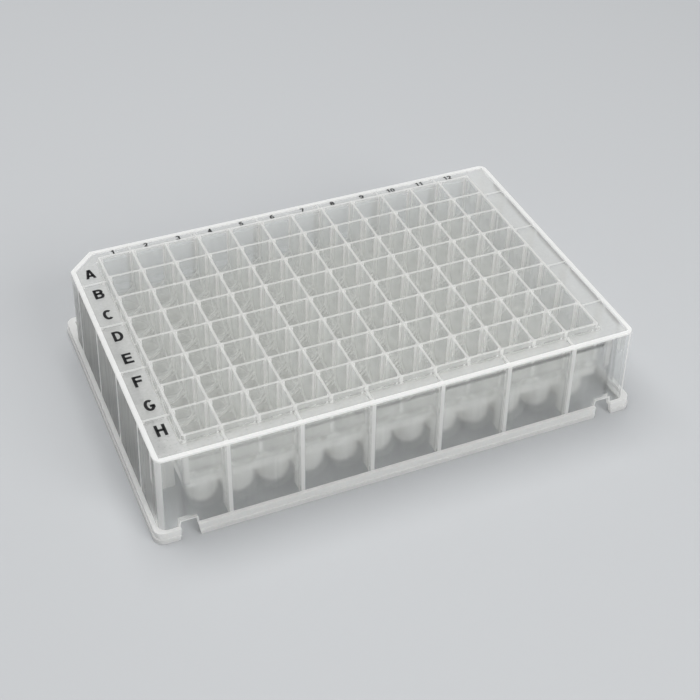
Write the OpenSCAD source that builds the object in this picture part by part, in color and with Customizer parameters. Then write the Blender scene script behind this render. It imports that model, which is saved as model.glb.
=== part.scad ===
// 96-well plate with square mouths and round bottoms, moulded in one piece from natural
// polypropylene. The well block hangs from a thin ribbed deck inside a skirt that stands on a
// flanged foot.
// X runs along columns 1 to 12, Y runs from row H to row A, and the base rests on Z = 0.

/* [Foot] */
// Length of the foot over the lip, the standard plate footprint
foot_length = 127.76; // [125:0.01:130]
// Width of the foot over the lip, the standard plate footprint
foot_width = 85.48; // [84:0.01:88]
// Radius of the lip's vertical corners
foot_radius = 2.5; // [1.5:0.1:4]
// Height of the lip, up to the ledge that the skirt rises from
lip_height = 3.2; // [2.4:0.1:4]
// Height of the band along the bottom of the lip
band_height = 1.4; // [0.6:0.1:1.8]
// How far that band stands out beyond the rest of the lip
band_step = 0.25; // [0.1:0.05:0.5]
// Thickness of the lip and of the ledge
lip_wall = 1.2; // [0.8:0.1:1.6]

/* [Skirt] */
// Overall height of the plate, to the top of the wells
plate_height = 26; // [25.9:0.1:32]
// Outer length of the skirt at its top edge
skirt_length = 124.2; // [123:0.1:124.6]
// Outer width of the skirt at its top edge
skirt_width = 82.2; // [81:0.1:82.6]
// Thickness of the skirt wall
skirt_wall = 1.1; // [0.8:0.1:1.4]
// Outward lean of the skirt wall, in mm for each mm down
skirt_draft = 0.022; // [0.005:0.001:0.03]
// Radius of the skirt's vertical corners at the top edge
skirt_radius = 2; // [1.5:0.1:3]
// Leg of the flat that cuts off the corner at A1
key_leg = 6.7; // [3:0.1:7.5]
// How far the wells stand above the top edge of the skirt
rim_rise = 1.2; // [0.5:0.1:2]

/* [Wells] */
// Distance between the centres of neighbouring wells
pitch = 9; // [9:0.01:9.05]
// Inside width of a well's square mouth
mouth = 8.2; // [7.8:0.1:8.4]
// Depth at which the corners of a well start to turn round
corner_depth = 10.9; // [9:0.1:12]
// Depth at which the middle of each wall starts to turn round
round_depth = 14.2; // [13.5:0.1:16]
// Inside radius at the top of the round tube
tube_radius = 3.55; // [3.3:0.05:3.6]
// Inside radius of the hemispherical bottom
bottom_radius = 3.45; // [3.2:0.05:3.5]
// Depth of a well at its centre
well_depth = 23.9; // [22:0.1:24]
// Wall thickness of the round tube
tube_wall = 0.85; // [0.6:0.05:0.9]

/* [Block] */
// Width of the raised rim outside the outermost wells
rim_wall = 0.8; // [0.6:0.1:1]
// Width of the ledge outside the raised rim
rim_ledge = 0.5; // [0.3:0.1:0.8]
// Radius of the block's vertical corners
block_radius = 0.8; // [0.4:0.1:1.5]
// Thickness of the ribs between the block and the skirt
rib_wall = 0.9; // [0.6:0.1:1.4]
// How far the deck lies below the top of the ribs and of the skirt
deck_drop = 0.3; // [0.1:0.1:1]
// Thickness of the deck, which carries the row letters and column numbers
deck_wall = 0.8; // [0.5:0.1:1.5]

/* [Notches] */
// Distance of each notch from the middle of the plate
notch_x = 55.4; // [40:0.1:57]
// Width of a notch at the base
notch_width = 5; // [3:0.1:6]
// Width of a notch at its top
notch_top = 3.8; // [2:0.1:6]
// Height of a notch
notch_height = 4.6; // [3.4:0.1:8]

/* [Hidden] */
columns = 12;
rows = 8;
top = plate_height;
skirt_top = plate_height - rim_rise;
ledge_base = lip_height - lip_wall;

// The field of wells, from the inner wall of the first to the inner wall of the last
field_x = (columns - 1) * pitch + mouth;
field_y = (rows - 1) * pitch + mouth;
rim_x = field_x + 2 * rim_wall;
rim_y = field_y + 2 * rim_wall;
block_x = rim_x + 2 * rim_ledge;
block_y = rim_y + 2 * rim_ledge;

// A funnel with straight sides turns the square well into a round one
corner_radius = mouth / sqrt(2);
funnel_slope = (corner_radius - mouth / 2) / (round_depth - corner_depth);
tube_depth = round_depth + (mouth / 2 - tube_radius) / funnel_slope;
funnel_wall = tube_wall * sqrt(1 + funnel_slope * funnel_slope);
centre_depth = well_depth - bottom_radius;

// The shared walls reach a little below the turn of the corners, and the outer wall a little
// below the funnels
wall_margin = 0.3;
block_depth = corner_depth + wall_margin;
wall_depth = tube_depth + wall_margin;

// The flat at A1 leans with the walls that it joins, so its leg is the same at every height
key_lean = atan(sqrt(2) * skirt_draft);
// Reach of the block that cuts it, past the corner
key_reach = 20;

// Length of the block that cuts a notch, from outside the lip to inside the skirt
notch_reach = 7;

overlap = 0.1;
$fn = 64;

// Flat plate with round corners, given by its full length and width
module rounded_plate(length, width, radius, height) {
    linear_extrude(height) {
        square([length, width - 2 * radius], center = true);
        square([length - 2 * radius, width], center = true);
        for (x = [-1, 1], y = [-1, 1])
            translate([x * (length / 2 - radius), y * (width / 2 - radius)])
                circle(radius);
    }
}

// Block whose walls lean outward on the way down, with cones for corners; the sizes are
// those at the top
module leaning_block(length, width, radius, low, high) {
    rise = high - low;
    lean = skirt_draft * rise;
    translate([0, 0, low]) {
        rotate([90, 0, 0])
            linear_extrude(width - 2 * radius, center = true)
                polygon([[-length / 2 - lean, 0], [length / 2 + lean, 0],
                         [length / 2, rise], [-length / 2, rise]]);
        rotate([90, 0, 90])
            linear_extrude(length - 2 * radius, center = true)
                polygon([[-width / 2 - lean, 0], [width / 2 + lean, 0],
                         [width / 2, rise], [-width / 2, rise]]);
        for (x = [-1, 1], y = [-1, 1])
            translate([x * (length / 2 - radius), y * (width / 2 - radius), 0])
                cylinder(h = rise, r1 = radius + lean, r2 = radius);
    }
}

// The skirt's outer form from the ledge to the top edge, or its hollow when it is inset
module skirt_form(inset, low, high) {
    length = skirt_length - 2 * inset + 2 * skirt_draft * (skirt_top - high);
    width = skirt_width - 2 * inset + 2 * skirt_draft * (skirt_top - high);
    leg = key_leg - (2 - sqrt(2)) * inset;
    difference() {
        leaning_block(length, width, skirt_radius - inset, low, high);
        // The flat at the A1 corner
        translate([-length / 2 + leg / 2, width / 2 - leg / 2, high])
            rotate([0, key_lean, 135])
                translate([0, -key_reach, -2 * plate_height])
                    cube([key_reach, 2 * key_reach, 4 * plate_height]);
    }
}

module lip() {
    difference() {
        union() {
            rounded_plate(foot_length, foot_width, foot_radius, band_height);
            rounded_plate(foot_length - 2 * band_step, foot_width - 2 * band_step,
                          foot_radius - band_step, lip_height);
        }
        translate([0, 0, -overlap])
            rounded_plate(foot_length - 2 * lip_wall, foot_width - 2 * lip_wall,
                          foot_radius - lip_wall, ledge_base + overlap);
    }
}

// Lip, ledge and skirt wall, open above and below
module skirt() {
    difference() {
        union() {
            lip();
            skirt_form(0, ledge_base, skirt_top);
        }
        skirt_form(skirt_wall, ledge_base - overlap, skirt_top + overlap);
    }
}

// Half section of a well or of its outside: funnel, tube and round bottom, to revolve
module bullet_section(funnel_grow, tube_grow, reach) {
    intersection() {
        union() {
            polygon([[0, reach], [corner_radius + funnel_grow, reach],
                     [corner_radius + funnel_grow, top - corner_depth],
                     [tube_radius + tube_grow,
                      top - tube_depth + (tube_grow - funnel_grow) / funnel_slope],
                     [bottom_radius + tube_grow, top - centre_depth],
                     [0, top - centre_depth]]);
            translate([0, top - centre_depth])
                circle(bottom_radius + tube_grow);
        }
        square([2 * pitch, 2 * top]);
    }
}

// Square prism round one well's centre line
module cell(width, low, high) {
    translate([-width / 2, -width / 2, low])
        cube([width, width, high - low]);
}

module well_cavity() {
    intersection() {
        cell(mouth, 0, top + overlap);
        rotate_extrude()
            bullet_section(0, 0, top + overlap);
    }
}

module well_outside() {
    intersection() {
        cell(pitch, 0, top - corner_depth);
        rotate_extrude()
            bullet_section(funnel_wall, tube_wall, top - corner_depth);
    }
}

module each_well() {
    for (column = [0 : columns - 1], row = [0 : rows - 1])
        translate([(column - (columns - 1) / 2) * pitch, (row - (rows - 1) / 2) * pitch, 0])
            children();
}

// Shared square walls with a raised rim, a straight outer wall that covers the funnels, and
// the separate round bottoms below
module block() {
    translate([0, 0, top - block_depth])
        rounded_plate(block_x, block_y, block_radius, block_depth - rim_rise);
    translate([0, 0, skirt_top - overlap])
        rounded_plate(rim_x, rim_y, block_radius, rim_rise + overlap);
    translate([0, 0, top - wall_depth])
        difference() {
            rounded_plate(block_x, block_y, block_radius, wall_depth - block_depth + overlap);
            translate([-field_x / 2, -field_y / 2, -overlap])
                cube([field_x, field_y, wall_depth]);
        }
    each_well()
        well_outside();
}

// Upright ribs at every second wall line, and the thin deck that closes the gap between the
// block and the skirt just below their top edges
module ribs_and_deck() {
    intersection() {
        skirt_form(skirt_wall / 2, ledge_base, skirt_top);
        difference() {
            union() {
                for (line = [1 : 2 : columns - 1])
                    translate([(line - columns / 2) * pitch - rib_wall / 2, -foot_width / 2, 0])
                        cube([rib_wall, foot_width, skirt_top]);
                for (line = [1 : 2 : rows - 1])
                    translate([-foot_length / 2, (line - rows / 2) * pitch - rib_wall / 2, 0])
                        cube([foot_length, rib_wall, skirt_top]);
                translate([-foot_length / 2, -foot_width / 2, skirt_top - deck_drop - deck_wall])
                    cube([foot_length, foot_width, deck_wall]);
            }
            translate([-rim_x / 2, -rim_y / 2, -overlap])
                cube([rim_x, rim_y, top]);
        }
    }
}

// Tapered gaps through the lip and the foot of the skirt, two in the front and two in the back
module notches() {
    for (x = [-1, 1], y = [-1, 1])
        translate([x * notch_x, y * (foot_width / 2 - notch_reach / 2 + overlap), 0])
            rotate([90, 0, 0])
                linear_extrude(notch_reach, center = true)
                    polygon([[-notch_width / 2, -overlap], [notch_width / 2, -overlap],
                             [notch_width / 2, 0], [notch_top / 2, notch_height],
                             [-notch_top / 2, notch_height], [-notch_width / 2, 0]]);
}

module plate() {
    color([0.86, 0.88, 0.88, 0.6])
        difference() {
            union() {
                skirt();
                ribs_and_deck();
                block();
            }
            each_well()
                well_cavity();
            notches();
        }
}

plate();
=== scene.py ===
import math

import bpy
import numpy as np
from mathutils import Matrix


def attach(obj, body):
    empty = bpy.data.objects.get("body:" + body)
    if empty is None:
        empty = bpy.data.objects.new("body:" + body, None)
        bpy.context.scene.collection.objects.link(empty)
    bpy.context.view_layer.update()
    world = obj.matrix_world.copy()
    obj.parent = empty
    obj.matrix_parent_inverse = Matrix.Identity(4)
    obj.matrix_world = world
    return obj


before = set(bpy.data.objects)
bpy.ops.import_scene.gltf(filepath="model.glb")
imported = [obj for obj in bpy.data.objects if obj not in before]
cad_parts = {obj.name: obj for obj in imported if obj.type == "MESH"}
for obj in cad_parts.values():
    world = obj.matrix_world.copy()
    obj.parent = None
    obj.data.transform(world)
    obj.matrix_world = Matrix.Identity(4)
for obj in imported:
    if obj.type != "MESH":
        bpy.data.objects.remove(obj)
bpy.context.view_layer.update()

scene = bpy.context.scene

# ---------------------------------------------------------------- plate
# One moulding in natural polypropylene: thin walls are hazy and let the wells behind show, edges
# that are seen along their length are milky white, edges, corners and fine lines carry a painted
# highlight in a whiter colour, and the walls carry the fine upright marks of the mould's cutters.
# Sizes are in millimetres.
PITCH, MOUTH, WALL, RIB = 9.0, 8.2, 0.8, 0.9
TOP, SKIRT_TOP, DECK_TOP = 26.0, 24.8, 24.5
# Heights at which the corners of a well and the middles of its walls turn round
CORNER_LOW, ROUND_LOW = TOP - 10.9, TOP - 14.2
# Half the length and width over the wells' rim, over the skirt's top edge and inside it
RIM_X, RIM_Y = 54.4, 36.4
SKIRT_X, SKIRT_Y = 62.1, 41.1
HOLLOW_X, HOLLOW_Y = 61.0, 40.0
SKIRT_DRAFT, KEY_LEG = 0.022, 6.7
LIP_HEIGHT, BAND_HEIGHT = 3.2, 1.4
NOTCH_X, NOTCH_HALF, NOTCH_TAPER, NOTCH_HEIGHT = 55.4, 2.5, 0.13, 4.6
# Colours of the milk in thin walls and in thick places, which is also the colour of the painted
# highlights, and of what is seen between
THIN = (0.892, 0.888, 0.872, 1.0)
THICK_AND_HIGHLIGHT = (0.982, 0.98, 0.968, 1.0)
CLEAR = (0.98, 0.985, 0.985, 1.0)
# Depth of haze: in a thin wall, added in the thicker walls low down, and taken off the skirt
THIN_HAZE, LOW_HAZE, SKIRT_HAZE = 0.11, 0.06, -0.04
# Streaks: how many to a millimetre across and up, and how much they change the haze
STREAKS_ACROSS, STREAKS_UP, STREAK_DEPTH = 1.3, 0.04, 0.15
# How much of the clear light the skirt blurs, and how strongly
FROST, BLUR_ROUGHNESS, BLUR_IOR = 0.85, 0.25, 1.35
SKIN_ROUGHNESS, SKIN_IOR = 0.55, 1.49


class Tree:
    """A material's node tree, with short calls that add a node and link its inputs. A mask is
    a value that is 1 where it holds, 0 elsewhere, and smooth between."""

    def __init__(self, nodes, links):
        self.nodes, self.links = nodes, links

    def add(self, kind, *values, **settings):
        """Add a node. Each value is a socket to link, a constant for that input, or None."""
        node = self.nodes.new("ShaderNode" + kind)
        for key, value in settings.items():
            setattr(node, key, value)
        for socket, value in zip(node.inputs, values):
            self.put(socket, value)
        return node

    def put(self, socket, value):
        if isinstance(value, bpy.types.NodeSocket):
            self.links.new(value, socket)
        elif value is not None:
            socket.default_value = value

    def math(self, operation, *values):
        return self.add("Math", *values, operation=operation).outputs[0]

    def ramp(self, value, start, end):
        """A smooth rise from 0 at the start to 1 at the end, which may be the smaller one."""
        return self.add("MapRange", value, start, end, 0.0, 1.0,
                        interpolation_type="SMOOTHSTEP").outputs[0]

    def above(self, value, limit, blur):
        """A mask that is 0 up to the limit and 1 from limit + blur on."""
        return self.ramp(value, limit, limit + blur)

    def below(self, value, limit, blur):
        """A mask that is 1 up to the limit and 0 from limit + blur on."""
        return self.ramp(value, limit + blur, limit)

    def both(self, first, *others):
        """Where all the masks hold: their product."""
        for other in others:
            first = self.math("MULTIPLY", first, other)
        return first

    def either(self, first, *others):
        """Where any of the masks holds: the largest of them."""
        for other in others:
            first = self.math("MAXIMUM", first, other)
        return first


def new_material(name):
    material = bpy.data.materials.new(name)
    material.use_nodes = True
    tree = Tree(material.node_tree.nodes, material.node_tree.links)
    tree.nodes.clear()
    return material, tree


plastic, t = new_material("natural_polypropylene")
where = t.add("TexCoord").outputs["Object"]
millimetres = t.add("VectorMath", where, operation="SCALE")
millimetres.inputs["Scale"].default_value = 1000.0
x, y, z = t.add("SeparateXYZ", millimetres.outputs[0]).outputs
far_x, far_y = t.math("ABSOLUTE", x), t.math("ABSOLUTE", y)
tilt = t.add("SeparateXYZ", t.add("NewGeometry").outputs["Normal"]).outputs[2]
level = t.above(t.math("ABSOLUTE", tilt), 0.6, 0.3)
upright = t.math("SUBTRACT", 1.0, level)


def beyond(half_x, half_y, blur):
    """A mask that holds outside a rectangle round the plate's middle."""
    return t.either(t.above(far_x, half_x, blur), t.above(far_y, half_y, blur))


# Distances from the nearest line between wells, from the nearest rib and from a well's axis
line_x, line_y = t.math("PINGPONG", x, PITCH / 2), t.math("PINGPONG", y, PITCH / 2)
rib_x = t.math("PINGPONG", t.math("SUBTRACT", x, PITCH), PITCH)
rib_y = t.math("PINGPONG", t.math("SUBTRACT", y, PITCH), PITCH)
across_x = t.math("SUBTRACT", PITCH / 2, line_x)
across_y = t.math("SUBTRACT", PITCH / 2, line_y)
widest = t.math("MAXIMUM", across_x, across_y)
from_axis = t.math("SQRT", t.math("ADD", t.math("MULTIPLY", across_x, across_x),
                                  t.math("MULTIPLY", across_y, across_y)))

# Distances inwards from the skirt's leaning faces, from its corners and from the flat at A1
lean = t.math("MULTIPLY_ADD", z, -SKIRT_DRAFT, SKIRT_DRAFT * SKIRT_TOP)
in_x = t.math("SUBTRACT", t.math("ADD", lean, SKIRT_X), far_x)
in_y = t.math("SUBTRACT", t.math("ADD", lean, SKIRT_Y), far_y)
in_corner = t.math("ADD", in_x, in_y)
in_key = t.math("SUBTRACT", t.math("MULTIPLY_ADD", lean, 2.0, SKIRT_X + SKIRT_Y - KEY_LEG),
                t.math("SUBTRACT", y, x))

# The top edges of walls and ribs and the lines along them, the skirt's top edge, and the deck
crest = t.both(level, t.above(z, SKIRT_TOP - 0.2, 0.1))
crest_line = t.both(crest, t.below(t.math("MINIMUM", line_x, line_y), WALL / 2 - 0.18, 0.2))
edge = t.both(t.above(z, SKIRT_TOP - 0.55, 0.15),
              t.either(beyond(HOLLOW_X - 0.2, HOLLOW_Y - 0.2, 0.2), t.below(in_key, 1.5, 0.3)))
deck = t.both(level, t.above(z, DECK_TOP - 1.0, 0.1), t.below(z, DECK_TOP + 0.1, 0.1))

# Corners of the wells, where two walls meet, and arches, where a flat wall meets the funnel
in_well = t.both(t.below(widest, MOUTH / 2 + 0.05, 0.1), t.below(far_x, RIM_X - 0.4, 0.2),
                 t.below(far_y, RIM_Y - 0.4, 0.2), upright)
corner = t.both(t.below(t.math("MAXIMUM", line_x, line_y), WALL, 0.2),
                t.above(z, ROUND_LOW + 1.2, 1.0), in_well)
corner_radius = MOUTH / math.sqrt(2)
funnel_slope = (corner_radius - MOUTH / 2) / (CORNER_LOW - ROUND_LOW)
funnel = t.math("MULTIPLY_ADD", t.math("SUBTRACT", CORNER_LOW, z), -funnel_slope, corner_radius)
arch = t.both(t.below(t.math("SUBTRACT", funnel, from_axis), 0.12, 0.18),
              t.above(widest, MOUTH / 2 - 0.25, 0.17), t.above(z, ROUND_LOW - 0.5, 0.4), in_well)

# The block's and the skirt's upright faces, and the bars on them: the ends of the wells' walls,
# the ends of the ribs, and the skirt's own corners
above_tubes = t.above(z, CORNER_LOW - 0.6, 2.5)
block_front = t.both(t.above(far_y, RIM_Y - 0.1, 0.2), t.below(far_y, RIM_Y + 1.1, 0.5), above_tubes)
block_side = t.both(t.above(far_x, RIM_X - 0.1, 0.2), t.below(far_x, RIM_X + 1.1, 0.5), above_tubes)
skirt_front = t.both(t.above(far_y, HOLLOW_Y - 0.8, 0.3), t.below(far_y, SKIRT_Y + 0.6, 0.2))
skirt_side = t.both(t.above(far_x, HOLLOW_X - 0.8, 0.3), t.below(far_x, SKIRT_X + 0.6, 0.2))
block = t.both(upright, t.either(block_front, block_side))
skirt = t.both(upright, beyond(HOLLOW_X - 1.1, HOLLOW_Y - 1.1, 0.3))
bar = t.both(upright, t.either(t.both(block_front, t.below(line_x, WALL / 2 - 0.05, 0.25)),
                               t.both(block_side, t.below(line_y, WALL / 2 - 0.05, 0.25)),
                               t.both(skirt_front, t.below(rib_x, RIB / 2 - 0.05, 0.25)),
                               t.both(skirt_side, t.below(rib_y, RIB / 2 - 0.05, 0.25)),
                               t.both(t.below(in_x, 1.15, 0.5), t.below(in_y, 1.15, 0.5))))

# The foot with its two lines, at the ledge and at the band, and the rim of each notch
foot = t.both(t.below(z, LIP_HEIGHT + 0.05, 0.05), beyond(HOLLOW_X + 0.5, HOLLOW_Y + 0.5, 0.2))
ledge_line = t.above(z, LIP_HEIGHT - 0.5, 0.3)
band_line = t.both(t.above(z, BAND_HEIGHT - 0.45, 0.25), t.below(z, BAND_HEIGHT + 0.1, 0.25))
foot_lines = t.both(foot, t.either(ledge_line, band_line))
beside = t.math("SUBTRACT", t.math("ABSOLUTE", t.math("SUBTRACT", far_x, NOTCH_X)),
                t.math("MULTIPLY_ADD", z, -NOTCH_TAPER, NOTCH_HALF))
from_notch = t.math("MAXIMUM", beside, t.math("SUBTRACT", z, NOTCH_HEIGHT))
notch_rim = t.both(t.below(from_notch, 0.25, 0.3), t.above(far_y, HOLLOW_Y - 1.0, 0.3))

# The wells' walls, which are thicker low down, and the tubes, whose outside is painted brighter
inside = t.math("SUBTRACT", 1.0, skirt)
low_wall = t.both(inside, t.below(z, CORNER_LOW - 0.1, 9.0))
tube = t.both(inside, t.below(z, ROUND_LOW - 0.8, 3.0))
# Painted light: the tubes' faces that look sideways or down are painted whiter, standing in for
# light inside the tubes
outer_tube_painted_bright = t.both(tube, t.below(tilt, 0.1, 0.4))

# Upright streaks in the haze of the walls, twice as strong on the skirt
drawn = t.add("CombineXYZ", t.math("MULTIPLY", x, STREAKS_ACROSS),
              t.math("MULTIPLY", y, STREAKS_ACROSS), t.math("MULTIPLY", z, STREAKS_UP))
noise = t.add("TexNoise", drawn.outputs[0])
noise.inputs["Scale"].default_value = 1.0
noise.inputs["Detail"].default_value = 3.0
streak = t.add("MapRange", noise.outputs[0], 0.3, 0.7, -STREAK_DEPTH, STREAK_DEPTH).outputs[0]
streak = t.math("MULTIPLY", streak, t.math("ADD", skirt, 1.0))

# Depth of haze per face: small on a thin wall, large on an edge
haze = t.math("MULTIPLY_ADD", low_wall, LOW_HAZE, THIN_HAZE)
haze = t.math("MULTIPLY_ADD", skirt, SKIRT_HAZE, haze)
haze = t.math("MULTIPLY", haze, t.math("ADD", streak, 1.0))
for place, depth in ((crest_line, 0.5), (edge, 3.0), (deck, 0.12), (block, 0.3), (tube, 0.3),
                     (outer_tube_painted_bright, 1.0), (corner, 2.0), (arch, 2.4), (bar, 0.9), (foot, 5.0),
                     (notch_rim, 1.5)):
    haze = t.math("MULTIPLY_ADD", place, depth, haze)

# A slanting look goes through more haze, so more of it is milk
facing = t.add("LayerWeight", 0.5).outputs["Facing"]
cosine = t.math("MAXIMUM", t.math("SUBTRACT", 1.0, facing), 0.1)
clear_share = t.math("EXPONENT", t.math("MULTIPLY", t.math("DIVIDE", haze, cosine), -1.0))
opacity = t.math("SUBTRACT", 1.0, clear_share)

# Milk: half of it shines back and half lets light through. Thick places are whiter, and edges,
# bars, corners, arches, foot lines, notch rims and the tubes' outside carry the whiter colour as
# a painted highlight
thick_and_highlight = t.either(edge, outer_tube_painted_bright, arch, bar, foot_lines, notch_rim, t.both(corner, 0.8),
                     t.both(foot, 0.9), t.both(crest, 0.05))
tone = t.add("Mix", thick_and_highlight, data_type="RGBA")
tone.inputs[6].default_value = THIN
tone.inputs[7].default_value = THICK_AND_HIGHLIGHT
skin = t.add("BsdfPrincipled", tone.outputs[2])
skin.inputs["Roughness"].default_value = SKIN_ROUGHNESS
skin.inputs["IOR"].default_value = SKIN_IOR
through = t.add("BsdfTranslucent", tone.outputs[2])
milk = t.add("MixShader", 0.5, skin.outputs[0], through.outputs[0])

# Clear light: the skirt's faces blur what is behind them, but not close to its top edge, its
# corners and the flat at A1
straight = t.both(t.above(in_corner, 5.8, 2.0), t.above(in_key, 1.3, 1.5),
                  t.below(z, SKIRT_TOP - 2.6, 1.0))
clear = t.add("BsdfTransparent", CLEAR)
blurred = t.add("BsdfRefraction", CLEAR, BLUR_ROUGHNESS, BLUR_IOR)
window = t.add("MixShader", t.both(skirt, straight, FROST), clear.outputs[0], blurred.outputs[0])
surface = t.add("MixShader", opacity, window.outputs[0], milk.outputs[0])
t.add("OutputMaterial", surface.outputs[0])

for slot in bpy.data.objects["plate"].material_slots:
    slot.material = plastic

# ---------------------------------------------------------------- row letters and column numbers
# Pad-printed black ink on the deck: letters A to H down the left strip and numbers 1 to 12
# along the back strip, in an upright bold sans. Sizes are in millimetres.
ROWS, COLUMNS = "ABCDEFGH", 12
LETTER_HEIGHT, LETTERS_X, LETTER_LIFT = 3.85, -57.72, 0.4
NUMBER_HEIGHT, NUMBERS_Y, NUMBER_SPREAD = 1.65, 39.13, 1.2
INK_FACE, INK_FOOT = DECK_TOP + 0.03, DECK_TOP - 0.01
# Width of a stroke and step from one figure to the next, in heights of a letter
STROKE, ADVANCE = 0.2, 0.62

ink, t = new_material("black_ink")
black = t.add("BsdfPrincipled", (0.012, 0.012, 0.013, 1.0))
black.inputs["Roughness"].default_value = 0.6
black.inputs["Specular IOR Level"].default_value = 0.15
t.add("OutputMaterial", black.outputs[0])


def arc(centre_x, centre_y, radius_x, radius_y, start, end, steps=14):
    """Points on an ellipse from one angle to another, in degrees."""
    a = np.radians(np.linspace(start, end, steps))
    return np.column_stack([centre_x + radius_x * np.cos(a), centre_y + radius_y * np.sin(a)])


def path(*parts):
    """One run of points from single points and runs of points."""
    return np.vstack([np.atleast_2d(part) for part in parts])


def line(*points):
    """One straight stroke through the points."""
    return np.array(points, float)


# Centre lines of the strokes, from the base line at 0 to the cap line at 1
STEM = line((0.09, 0), (0.09, 1))
GLYPHS = {
    "A": [line((0.07, -0.05), (0.30, 1.05)), line((0.57, -0.05), (0.34, 1.05)),
          line((0.14, 0.29), (0.50, 0.29))],
    "B": [STEM, path((0.09, 0.91), (0.30, 0.91), arc(0.32, 0.72, 0.20, 0.19, 80, -80),
                     (0.30, 0.53), (0.09, 0.53)),
          path((0.09, 0.53), (0.32, 0.53), arc(0.34, 0.31, 0.21, 0.22, 80, -80),
               (0.32, 0.09), (0.09, 0.09))],
    "C": [arc(0.32, 0.5, 0.23, 0.41, 48, 312, 28)],
    "D": [STEM, path((0.09, 0.91), (0.24, 0.91), arc(0.26, 0.5, 0.29, 0.41, 80, -80, 24),
                     (0.24, 0.09), (0.09, 0.09))],
    "E": [STEM, line((0.09, 0.91), (0.60, 0.91)), line((0.09, 0.52), (0.56, 0.52)),
          line((0.09, 0.09), (0.62, 0.09))],
    "F": [STEM, line((0.09, 0.91), (0.60, 0.91)), line((0.09, 0.52), (0.54, 0.52))],
    "G": [path(arc(0.32, 0.5, 0.23, 0.41, 50, 325, 28), (0.55, 0.30), (0.55, 0.50)),
          line((0.33, 0.43), (0.60, 0.43))],
    "H": [STEM, line((0.55, 0), (0.55, 1)), line((0.09, 0.53), (0.55, 0.53))],
    "0": [arc(0.30, 0.5, 0.21, 0.41, 0, 360, 33)],
    "1": [line((0.34, 0), (0.34, 1)), line((0.10, 0.74), (0.36, 0.93))],
    "2": [path(arc(0.29, 0.69, 0.21, 0.22, 170, -25), (0.13, 0.13)),
          line((0.05, 0.09), (0.54, 0.09))],
    "3": [arc(0.28, 0.72, 0.20, 0.19, 160, -90), arc(0.28, 0.31, 0.23, 0.22, 90, -165)],
    "4": [line((0.40, 0), (0.40, 1)), line((0.40, 0.95), (0.08, 0.31)),
          line((0.04, 0.27), (0.57, 0.27))],
    "5": [line((0.52, 0.91), (0.14, 0.91)), line((0.17, 0.91), (0.12, 0.48)),
          arc(0.28, 0.32, 0.23, 0.23, 145, -160)],
    "6": [arc(0.30, 0.31, 0.21, 0.22, 0, 360, 29), arc(0.36, 0.34, 0.27, 0.57, 180, 62)],
    "7": [line((0.05, 0.91), (0.55, 0.91)), line((0.50, 0.88), (0.22, -0.05))],
    "8": [arc(0.30, 0.72, 0.19, 0.19, 0, 360, 29), arc(0.30, 0.30, 0.22, 0.21, 0, 360, 29)],
}
# The 9 is the 6 turned half round
GLYPHS["9"] = [np.array([0.60, 1.0]) - stroke for stroke in GLYPHS["6"]]


def ribbon(points):
    """Edges of a stroke: the centre line moved half a stroke to each side, with mitred bends,
    and cut level at the base line and the cap line."""
    steps = np.diff(points, axis=0)
    steps /= np.linalg.norm(steps, axis=1)[:, None]
    side = np.column_stack([-steps[:, 1], steps[:, 0]])
    before, after = np.vstack([side[:1], side]), np.vstack([side, side[-1:]])
    if np.allclose(points[0], points[-1]):
        before[0], after[-1] = side[-1], side[0]
    mitre = (before + after) / (1 + (before * after).sum(axis=1))[:, None]
    left, right = points + mitre * STROKE / 2, points - mitre * STROKE / 2
    for side_line in (left, right):
        side_line[:, 1] = side_line[:, 1].clip(0, 1)
    return left, right


def printed(name, text, centre_x, centre_y, height, spread=1.0):
    """Every stroke is a thin closed band: its two edges at the ink's face and at its foot,
    joined by quads along it and capped at both ends. The figures are widened by spread."""
    vertices, faces = [], []
    for place, character in enumerate(text):
        for stroke in GLYPHS[character]:
            left, right = ribbon(stroke)
            ring = np.stack([left, right, right, left], axis=1)
            ring[..., 0] += (place - (len(text) - 1) / 2) * ADVANCE - ADVANCE / 2
            ring[..., 1] -= 0.5
            heights = np.array([INK_FACE, INK_FACE, INK_FOOT, INK_FOOT])
            solid = np.dstack([ring[..., 0] * height * spread + centre_x,
                               ring[..., 1] * height + centre_y,
                               np.broadcast_to(heights, ring.shape[:2])])
            base, count = sum(len(v) for v in vertices), len(solid)
            vertices.append(solid.reshape(-1, 3))
            first = base + 4 * np.arange(count - 1)[:, None] + np.arange(4)
            second = base + 4 * np.arange(count - 1)[:, None] + (np.arange(4) + 1) % 4
            faces.append(np.stack([first, first + 4, second + 4, second], -1).reshape(-1, 4))
            last = base + 4 * (count - 1)
            faces.append(np.array([[base, base + 1, base + 2, base + 3],
                                   [last + 3, last + 2, last + 1, last]]))
    mesh = bpy.data.meshes.new(name)
    mesh.from_pydata((np.vstack(vertices) / 1000).tolist(), [], np.vstack(faces).tolist())
    mesh.materials.append(ink)
    mark = bpy.data.objects.new(name, mesh)
    scene.collection.objects.link(mark)
    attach(mark, "root")


for row, letter in enumerate(ROWS):
    row_y = ((len(ROWS) - 1) / 2 - row) * PITCH
    printed(f"row_letter_{letter}", letter, LETTERS_X, row_y + LETTER_LIFT, LETTER_HEIGHT)
for column in range(COLUMNS):
    column_x = (column - (COLUMNS - 1) / 2) * PITCH
    printed(f"column_number_{column + 1}", str(column + 1), column_x, NUMBERS_Y, NUMBER_HEIGHT,
            NUMBER_SPREAD)

# ---------------------------------------------------------------- floor
# A wide table top with a dull pale finish, so that the plate's shadow falls on something plain.
# Sizes are in metres.
REACH = 3.0

table, t = new_material("table")
paint = t.add("BsdfPrincipled", (0.47, 0.48, 0.49, 1.0))
paint.inputs["Roughness"].default_value = 0.7
t.add("OutputMaterial", paint.outputs[0])

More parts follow.
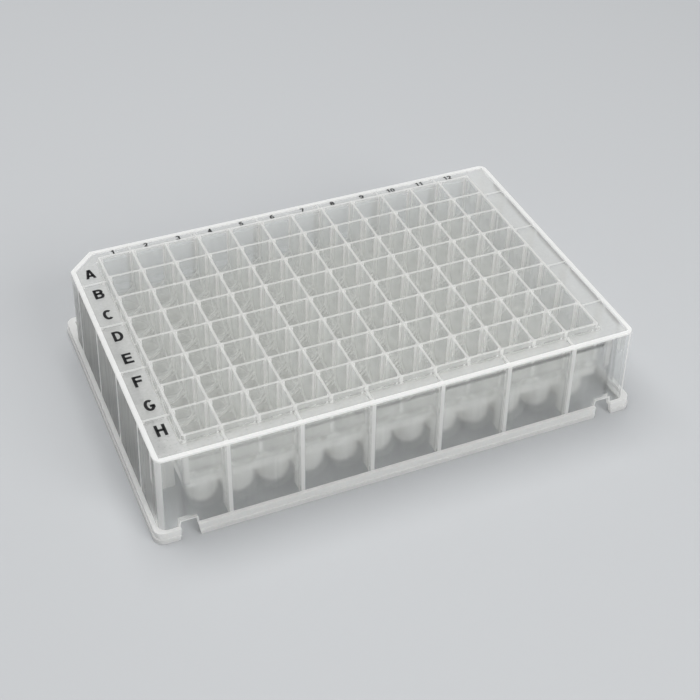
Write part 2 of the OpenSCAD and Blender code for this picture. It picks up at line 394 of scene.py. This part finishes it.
mesh = bpy.data.meshes.new("floor")
mesh.from_pydata([(-REACH, -REACH, 0), (REACH, -REACH, 0), (REACH, REACH, 0), (-REACH, REACH, 0)],
                 [], [(0, 1, 2, 3)])
mesh.materials.append(table)
floor = bpy.data.objects.new("floor", mesh)
scene.collection.objects.link(floor)

# ---------------------------------------------------------------- light
# A large soft box overhead, a weaker one at the front right, and an even pale sky. Places are in
# metres, turns in degrees and power in watts.
SKY_COLOUR, SKY_STRENGTH = (0.95, 0.97, 1.0, 1.0), 0.31

world = bpy.data.worlds.new("sky")
world.use_nodes = True
world.node_tree.nodes["Background"].inputs["Color"].default_value = SKY_COLOUR
world.node_tree.nodes["Background"].inputs["Strength"].default_value = SKY_STRENGTH
scene.world = world


def soft_box(name, place, turn, side, power):
    """A square lamp, which shines straight down when it is not turned."""
    lamp = bpy.data.lights.new(name, "AREA")
    lamp.shape = "SQUARE"
    lamp.size = side
    lamp.energy = power
    box = bpy.data.objects.new(name, lamp)
    box.location = place
    box.rotation_euler = [math.radians(a) for a in turn]
    scene.collection.objects.link(box)


soft_box("soft_box_over", place=(-0.10, 0.20, 0.90), turn=(-12.5, -6.3, 0), side=0.7, power=7.2)
soft_box("soft_box_front", place=(0.3, -0.7, 0.5), turn=(54, 18, 0), side=0.5, power=4.2)

# ---------------------------------------------------------------- camera
# Three-quarter view from above the H1 corner, with row H in front and the columns running away
# to the upper right. The place is in metres and the turn in degrees.
CAMERA_PLACE = (-0.112206, -0.257478, 0.244359)
CAMERA_TURN = (52.337, -1.182, -23.052)

lens = bpy.data.cameras.new("camera")
lens.lens = 71.424
lens.shift_y = -0.0929
lens.sensor_width = 36.0
lens.clip_start = 0.01
camera = bpy.data.objects.new("camera", lens)
camera.location = CAMERA_PLACE
camera.rotation_euler = [math.radians(a) for a in CAMERA_TURN]
scene.collection.objects.link(camera)
scene.camera = camera
scene.view_settings.view_transform = "Standard"

# Light passes many hazy faces, one behind the other
scene.cycles.transparent_max_bounces = 32
scene.cycles.max_bounces = 12
scene.cycles.diffuse_bounces = 8
